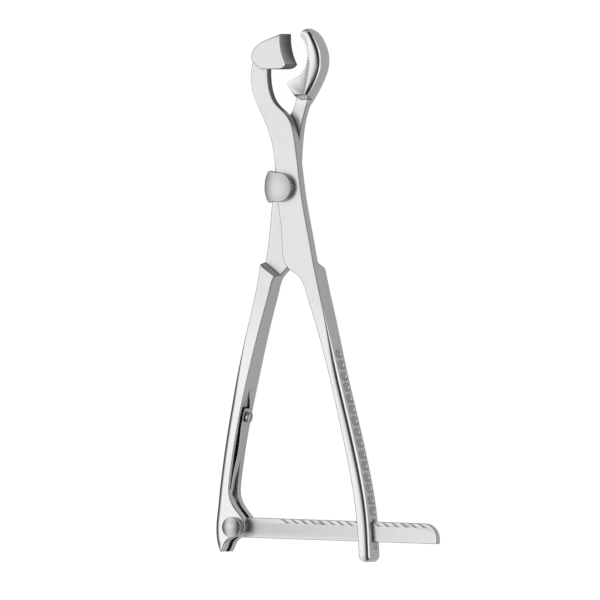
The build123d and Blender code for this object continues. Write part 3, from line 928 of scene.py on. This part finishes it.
cap_rings = []
for depth, up in ((0.3, 0.0), (0.1, 0.06), (0.0, 0.2), (0.0, 0.6), (0.0, 1.0)):
    flat = inward(cap_outline, depth)
    top = cap_dome(inward(cap_outline, 0.0)) - cap_edge
    height = np.minimum(cap_low + up, top) if up < 1 else top
    cap_rings.append(np.column_stack([flat, height]))
for q in np.linspace(0, math.pi / 2, 6)[1:]:
    flat = inward(cap_outline, cap_edge * (1 - math.cos(q)))
    cap_rings.append(np.column_stack([flat, cap_dome(flat) - cap_edge * (1 - math.sin(q))]))
rim_line = cap_rings[-1][:, :2]
for s in np.linspace(0, 1, 18)[1:]:
    flat = cap_centre + (rim_line - cap_centre) * (1 - s)
    cap_rings.append(np.column_stack([flat, cap_dome(flat)]))
cap = stack_of_rings("lock_cap", cap_rings)
post_radius = 3.5
post_top = cap_low + 0.5
post = turned("post", [(0, 0.0), (4.65, 0.0), (post_radius, 1.15), (post_radius, post_top),
                       (0, post_top)], (0, 0), 64)
combine(cap, post, "UNION")
finish_piece(cap, "hook_side", "pivot_post", cap_steel)

# %% [markdown]
# ## The ratchet bar
#
# A flat bar with slanted slits along its upper edge, where the window of the right handle catches.
# The slits could be drawn into the outline, but on the real bar each one is sawn by the same thin
# blade, and so it is here. The bar hangs a little down to the right.

# %% Ratchet bar
bar_length = 115.0
bar_half = 5.1
bar_half_thick = 1.7
bar_tilt = math.radians(-1.45)
nose_radius = 8.0
nose = arc((bar_length - nose_radius, bar_half - nose_radius), nose_radius, 0, 90, 24)
bar_end = arc((0, 0), bar_half, 90, 270, 40)
bar_shape = np.vstack([bar_end, np.linspace((1.0, -bar_half), (bar_length, -bar_half), 100), nose,
                       np.linspace((bar_length - 9, bar_half), (1.0, bar_half), 100)])
ratchet_bar = plate("notched_bar", anticlockwise(bar_shape), mid - bar_half_thick,
                    mid + bar_half_thick, 0.22, 0.22, steps=3)

# %% Notches
notch_slant = math.radians(31)
notch_depth = 2.4
blade_thick = 0.9
notch_count = 16
first_notch, notch_pitch = 24.2, 5.28
notch_run = notch_depth / math.tan(notch_slant)
notch_mouth = blade_thick / math.sin(notch_slant)
blade = [(-notch_run / 4, notch_depth / 4), (notch_run, -notch_depth),
         (notch_mouth + notch_run, -notch_depth), (notch_mouth - notch_run / 4, notch_depth / 4)]
blade_cutter = plate("blade_cutter", anticlockwise(blade), -4, 4, 0.001, 0.001, steps=1)
top_edge = guide_line("top_edge", [(0, bar_half), (bar_length, bar_half)], mid)
repeat_cut(ratchet_bar, top_edge, blade_cutter, notch_count, first_notch, notch_pitch, bar_steel)
eye = turned("eye", [(0, mid - 3), (pin_hole, mid - 3), (pin_hole, mid + 3), (0, mid + 3)], (0, 0))
combine(ratchet_bar, eye, "DIFFERENCE")
to_pin = Matrix.Translation((pin[0] * MM, pin[1] * MM, 0))
ratchet_bar.data.transform(to_pin @ Matrix.Rotation(bar_tilt, 4, "Z"))
finish_piece(ratchet_bar, "bar", "ratchet_bar", bar_steel)

# %% Ratchet pin
pin_radius = 2.5
head_radius = 5.2
head_low = handle_high + 0.1
pin_profile = [(0, handle_low), (3.35, handle_low), (pin_radius, handle_low + 0.85),
               (pin_radius, head_low), (5.0, head_low), (head_radius, head_low + 0.2),
               (head_radius, head_low + 2.85), (5.1, head_low + 3.05)]
pin_profile += dome(4.95, head_low + 3.15, head_low + 4.4)
ratchet_pin = turned("domed_pin", pin_profile, pin)
finish_piece(ratchet_pin, "bar_pin", "ratchet_pin", cap_steel, crease=28)

# %% [markdown]
# ## The leaf spring and its screw
#
# A thin strip of spring steel lies on the inner face of the left handle, held by one screw. It gets
# narrower and dips into the channel, down to the heel of the bar. Its face is upright, so a bevelled
# curve would turn it over in the bend, and rings along its route keep it straight.

# %% Leaf spring
spring_thick = 0.8
spring_edge = 0.15
spring_route = smooth_line([(-23.4, -112.5), (-25.1, -120.5), (-27.75, -133.0), (-31.6, -148.0),
                            (-32.8, -158.0), (-32.3, -168.4)], np.linspace(0, 1, 120))
spring_rings = []
for x, y in spring_route:
    half = float(np.interp(-y, [112.5, 114.5, 122.0, 136.0, 168.4], [3.2, 4.1, 4.1, 2.2, 1.55]))
    outline = [(0, half - spring_edge), (spring_edge, half), (spring_thick - spring_edge, half),
               (spring_thick, half - spring_edge), (spring_thick, spring_edge - half),
               (spring_thick - spring_edge, -half), (spring_edge, -half), (0, spring_edge - half)]
    spring_rings.append([(x + s, y, mid + z) for s, z in outline])
leaf_spring = stack_of_rings("flat_spring", spring_rings)
finish_piece(leaf_spring, "hook_side", "leaf_spring", spring_steel)

# %% Screw, made upright, turned to its way and moved to where the CAD screw is
screw_way = Vector((0.977, -0.213, 0))
thread_radius = 1.4
low_corner, high_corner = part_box("spring_screw")
screw_middle = (low_corner + high_corner) / 2
screw_profile = [(0, -3.0), (thread_radius, -3.0), (thread_radius, 1.4), (2.75, 1.4), (2.85, 1.5),
                 (2.85, 2.6), (2.7, 2.85)] + dome(2.5, 2.95, 3.35, 6)
screw = turned("slotted_screw", screw_profile, (0, 0), 64)
slot_half = 0.3
slot = [(-4, -slot_half), (4, -slot_half), (4, slot_half), (-4, slot_half)]
slot_cutter = plate("slot_cutter", anticlockwise(slot), 2.6, 5, 0.001, 0.001, steps=1)
combine(screw, slot_cutter, "DIFFERENCE")
screw.data.transform(screw_way.to_track_quat("Z", "Y").to_matrix().to_4x4())
own = np.array([v.co for v in screw.data.vertices])
shift = screw_middle - Vector((own.min(0) + own.max(0)) / 2)
screw.data.transform(Matrix.Translation(shift))
finish_piece(screw, "hook_side", "spring_screw", bright_steel, crease=28)

# %% [markdown]
# ## Floor, light and camera
#
# The photograph shows the instrument on pure white, seen from its right at about 29 degrees. Steel
# shows only what it mirrors, so the floor and the sky matter more than lamps. The camera sees the
# floor as plain white paper. A mirrored ray sees the same paper bright on the right and dark on the
# left, so that the sides of the left handle come out darker than those of the right one. The sky is
# a row of long soft boxes along the instrument, with a dark gap round the camera, because a dark
# gap is what draws the black lines on bright steel.

# %% Floor
floor_half = 2.0
floor_z = (handle_low - 0.02) * MM
corners = [(x * floor_half, y * floor_half, floor_z) for x, y in ((-1, -1), (1, -1), (1, 1), (-1, 1))]
floor_mesh = bpy.data.meshes.new("floor")
floor_mesh.from_pydata(corners, [], [(0, 1, 2, 3)])
floor = bpy.data.objects.new("floor", floor_mesh)
bpy.context.scene.collection.objects.link(floor)

# %% Paper that glows for the camera and for mirrored rays
seen_glow = 1.15
mirrored_glow = (0.1, 0.62)
paper = bpy.data.materials.new("paper")
paper.use_nodes = True
tree = paper.node_tree
nodes, link = tree.nodes, tree.links.new
matt = nodes["Principled BSDF"]
matt.inputs["Base Color"].default_value = (0.45, 0.45, 0.45, 1)
matt.inputs["Roughness"].default_value = 0.8
matt.inputs["Specular IOR Level"].default_value = 0.1
path = nodes.new("ShaderNodeLightPath")
seen = nodes.new("ShaderNodeMath")
seen.operation = "ADD"
seen.use_clamp = True
link(path.outputs["Is Camera Ray"], seen.inputs[0])
link(path.outputs["Is Glossy Ray"], seen.inputs[1])
part_glow = nodes.new("ShaderNodeMath")
part_glow.operation = "MULTIPLY"
part_glow.inputs[1].default_value = 0.85
link(seen.outputs[0], part_glow.inputs[0])
spot = nodes.new("ShaderNodeTexCoord")
across = nodes.new("ShaderNodeVectorMath")
across.operation = "DOT_PRODUCT"
across.inputs[1].default_value = (1, -0.17, 0)
link(spot.outputs["Object"], across.inputs[0])
tone = remap(tree, across.outputs["Value"], (-9 * MM, -3 * MM), mirrored_glow)
which = nodes.new("ShaderNodeMix")
link(path.outputs["Is Camera Ray"], which.inputs["Factor"])
link(tone.outputs["Result"], which.inputs["A"])
which.inputs["B"].default_value = seen_glow
glow = nodes.new("ShaderNodeEmission")
link(which.outputs["Result"], glow.inputs["Strength"])
mix = nodes.new("ShaderNodeMixShader")
link(part_glow.outputs[0], mix.inputs["Fac"])
link(matt.outputs["BSDF"], mix.inputs[1])
link(glow.outputs["Emission"], mix.inputs[2])
link(mix.outputs["Shader"], nodes["Material Output"].inputs["Surface"])
floor.data.materials.append(paper)
print("paper glow", seen_glow, "and mirrored", mirrored_glow)

# %% Sky of soft boxes, as (direction in X, brightness)
world = bpy.data.worlds.new("studio")
bpy.context.scene.world = world
world.use_nodes = True
tree = world.node_tree
nodes, link = tree.nodes, tree.links.new
sky = nodes["Background"]
way = nodes.new("ShaderNodeTexCoord")
parts = nodes.new("ShaderNodeSeparateXYZ")
link(way.outputs["Generated"], parts.inputs["Vector"])
scale = remap(tree, parts.outputs["X"], (-1, 1), (0, 1))
boxes = nodes.new("ShaderNodeValToRGB")
link(scale.outputs["Result"], boxes.inputs["Fac"])
stops = [(-1.0, 0.1), (-0.93, 0.16), (-0.78, 1.0), (-0.64, 1.24), (-0.5, 1.2), (-0.2, 0.98),
         (0.1, 0.45), (0.28, 0.03), (0.64, 0.03), (0.74, 1.5), (0.93, 1.5), (1.0, 0.3)]
ramp_stops = boxes.color_ramp.elements
while len(ramp_stops) > 1:
    ramp_stops.remove(ramp_stops[-1])
for i, (x, light) in enumerate(stops):
    stop = ramp_stops[0] if i == 0 else ramp_stops.new((x + 1) / 2)
    stop.position = (x + 1) / 2
    stop.color = (light, light, light, 1)
link(boxes.outputs["Color"], sky.inputs["Color"])
sky.inputs["Strength"].default_value = 1.0
print("sky", len(ramp_stops), "stops")


# %% One lamp from the left, for the soft shine on the flat faces
centre = Vector((10.1 * MM, -57.5 * MM, front_high * MM))
lamp_data = bpy.data.lights.new("key", "AREA")
lamp_data.shape = "RECTANGLE"
lamp_data.size, lamp_data.size_y = 0.5, 1.4
lamp_data.energy = 0.5
lamp = bpy.data.objects.new("key", lamp_data)
bpy.context.scene.collection.objects.link(lamp)
lamp.location = (-0.55, -0.06, 0.8)
lamp.rotation_euler = (centre - lamp.location).to_track_quat("-Z", "Y").to_euler()

# %% Camera, far away, because the photograph shows almost no perspective
turn_angle = math.radians(29)
distance = 12.0
frame_height = 304.2 * MM
sensor = 36
camera_data = bpy.data.cameras.new("camera")
camera_data.sensor_width = sensor
camera_data.lens = sensor * distance / frame_height
camera = bpy.data.objects.new("camera", camera_data)
bpy.context.scene.collection.objects.link(camera)
away = Vector((math.sin(turn_angle), 0, math.cos(turn_angle)))
right = Vector((math.cos(turn_angle), 0, -math.sin(turn_angle)))
up = Vector((0, 1, 0))
basis = Matrix((right, up, away)).transposed().to_4x4()
camera.matrix_world = Matrix.Translation(centre + away * distance) @ basis
bpy.context.scene.camera = camera
bpy.context.scene.view_settings.view_transform = "Standard"
print("camera", distance, "m away, lens", round(camera_data.lens), "mm")
